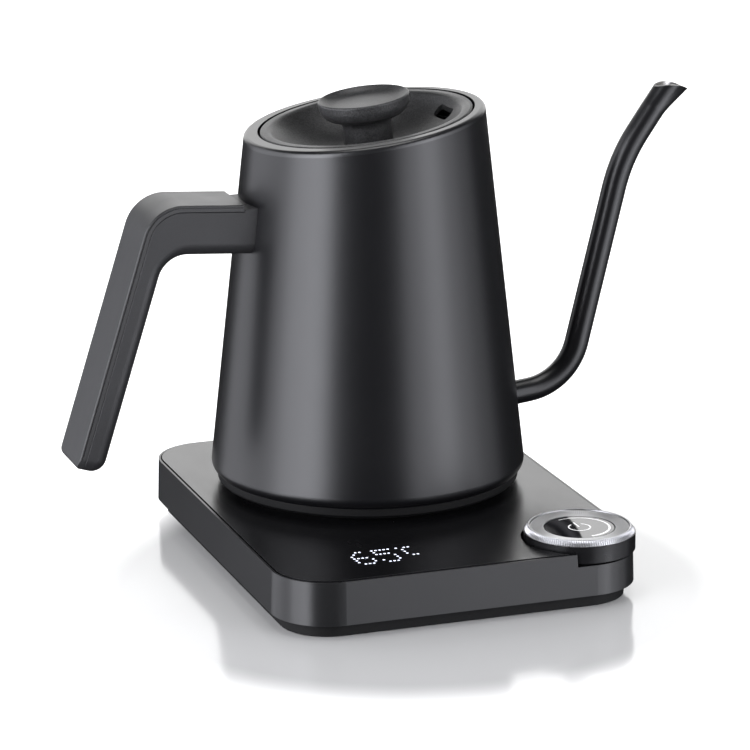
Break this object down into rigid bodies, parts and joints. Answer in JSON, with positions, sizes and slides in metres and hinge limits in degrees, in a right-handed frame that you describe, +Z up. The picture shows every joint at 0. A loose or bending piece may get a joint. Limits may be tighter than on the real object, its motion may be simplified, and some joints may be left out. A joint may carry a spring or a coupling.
{
  "type": "electric gooseneck kettle",
  "caption": "Tapered kettle with a slim swan-neck spout, open strap handle and dished lid, standing on a flat round-cornered base station with a corner dial and a lit dot display.",
  "frame": {"origin": "middle of the object's footprint, on the surface that it stands on", "axes": "+Z up; +X towards the spout and along the front edge of the base; -Y is the front, where the dial and the display are"},
  "size_m": [0.2619, 0.1952, 0.1822],
  "materials": {
    "base_paint": "satin",
    "plate_paint": "satin",
    "kettle_paint": "satin",
    "rim_paint": "satin",
    "black_plastic": "matte",
    "handle_plastic": "fine grained",
    "handle_cover_plastic": "fine grained",
    "lid_plastic": "fine grained",
    "lid_lower_plastic": "matte",
    "dial_aluminium": "turned and knurled",
    "dial_black": "gloss",
    "button_lens": "gloss",
    "display_lens": "lit dots under the plate",
    "foot_rubber": "matte",
    "silicone": "matte",
    "nylon": "natural",
    "circuit_board": "satin",
    "component_case": "satin",
    "wire_insulation": "satin",
    "contact_brass": "polished",
    "screw_steel": "zinc plated",
    "vessel_steel": "satin",
    "spreader_aluminium": "rolled",
    "element_sheath": "heat tinted"
  },
  "bodies": {
    "base": {"base_housing": "base_paint", "top_plate": "plate_paint", "bottom_pan": "black_plastic", "rubber_feet": "foot_rubber", "pan_screws": "screw_steel", "control_board": "circuit_board", "control_screws": "screw_steel", "display_module": "display_lens", "power_board": "circuit_board", "power_board_screws": "screw_steel", "power_relay": "component_case", "power_supply": "component_case", "terminal_block": "component_case", "cord_gland": "black_plastic", "cord_clamp": "black_plastic", "clamp_screws": "screw_steel", "connector_wires": "wire_insulation", "base_connector": "black_plastic", "base_contacts": "contact_brass", "encoder_board": "circuit_board", "dial_post": "black_plastic", "button_spring": "screw_steel", "button_switch": "component_case"},
    "locating_ring": {"locating_ring": "nylon"},
    "kettle": {"body_shell": "kettle_paint", "rim_ring": "rim_paint", "spout_tube": "kettle_paint", "vessel_floor": "vessel_steel", "heat_spreader": "spreader_aluminium", "heating_element": "element_sheath", "temperature_probe": "vessel_steel", "probe_nut": "screw_steel", "kettle_connector": "black_plastic", "connector_screws": "screw_steel", "kettle_contacts": "contact_brass", "base_collar": "black_plastic", "collar_screws": "screw_steel", "handle_core": "handle_plastic", "handle_cover": "handle_cover_plastic", "handle_bracket": "vessel_steel", "handle_screws": "screw_steel"},
    "lid": {"lid_dish": "lid_plastic", "lid_knob": "lid_plastic", "lid_underside": "lid_lower_plastic", "lid_seal": "silicone", "lid_screw": "screw_steel"},
    "dial": {"dial_ring": "dial_aluminium", "dial_skirt": "dial_black", "encoder_disc": "nylon"},
    "power_button": {"button_glass": "button_lens", "button_stem": "black_plastic"}
  },
  "joints": [
    {"name": "kettle_turn", "type": "hinge", "parent": "base", "child": "locating_ring", "pos_m": [-0.007, 0.02365, 0.025], "axis": [0, 0, 1], "continuous": true},
    {"name": "kettle_lift", "type": "slide", "parent": "locating_ring", "child": "kettle", "axis": [0, 0, 1], "range_m": [0, 0.25]},
    {"name": "lid_lift", "type": "slide", "parent": "kettle", "child": "lid", "axis": [-0.1295, 0, 0.9916], "range_m": [0, 0.08]},
    {"name": "dial_turn", "type": "hinge", "parent": "base", "child": "dial", "pos_m": [0.0445, -0.07605, 0.0182], "axis": [0, 0, 1], "continuous": true},
    {"name": "power_button_press", "type": "slide", "parent": "base", "child": "power_button", "axis": [0, 0, -1], "range_m": [0, 0.0008], "stiffness_N_per_m": 700, "springref_m": -0.0012, "deforming": ["button_spring"]}
  ]
}
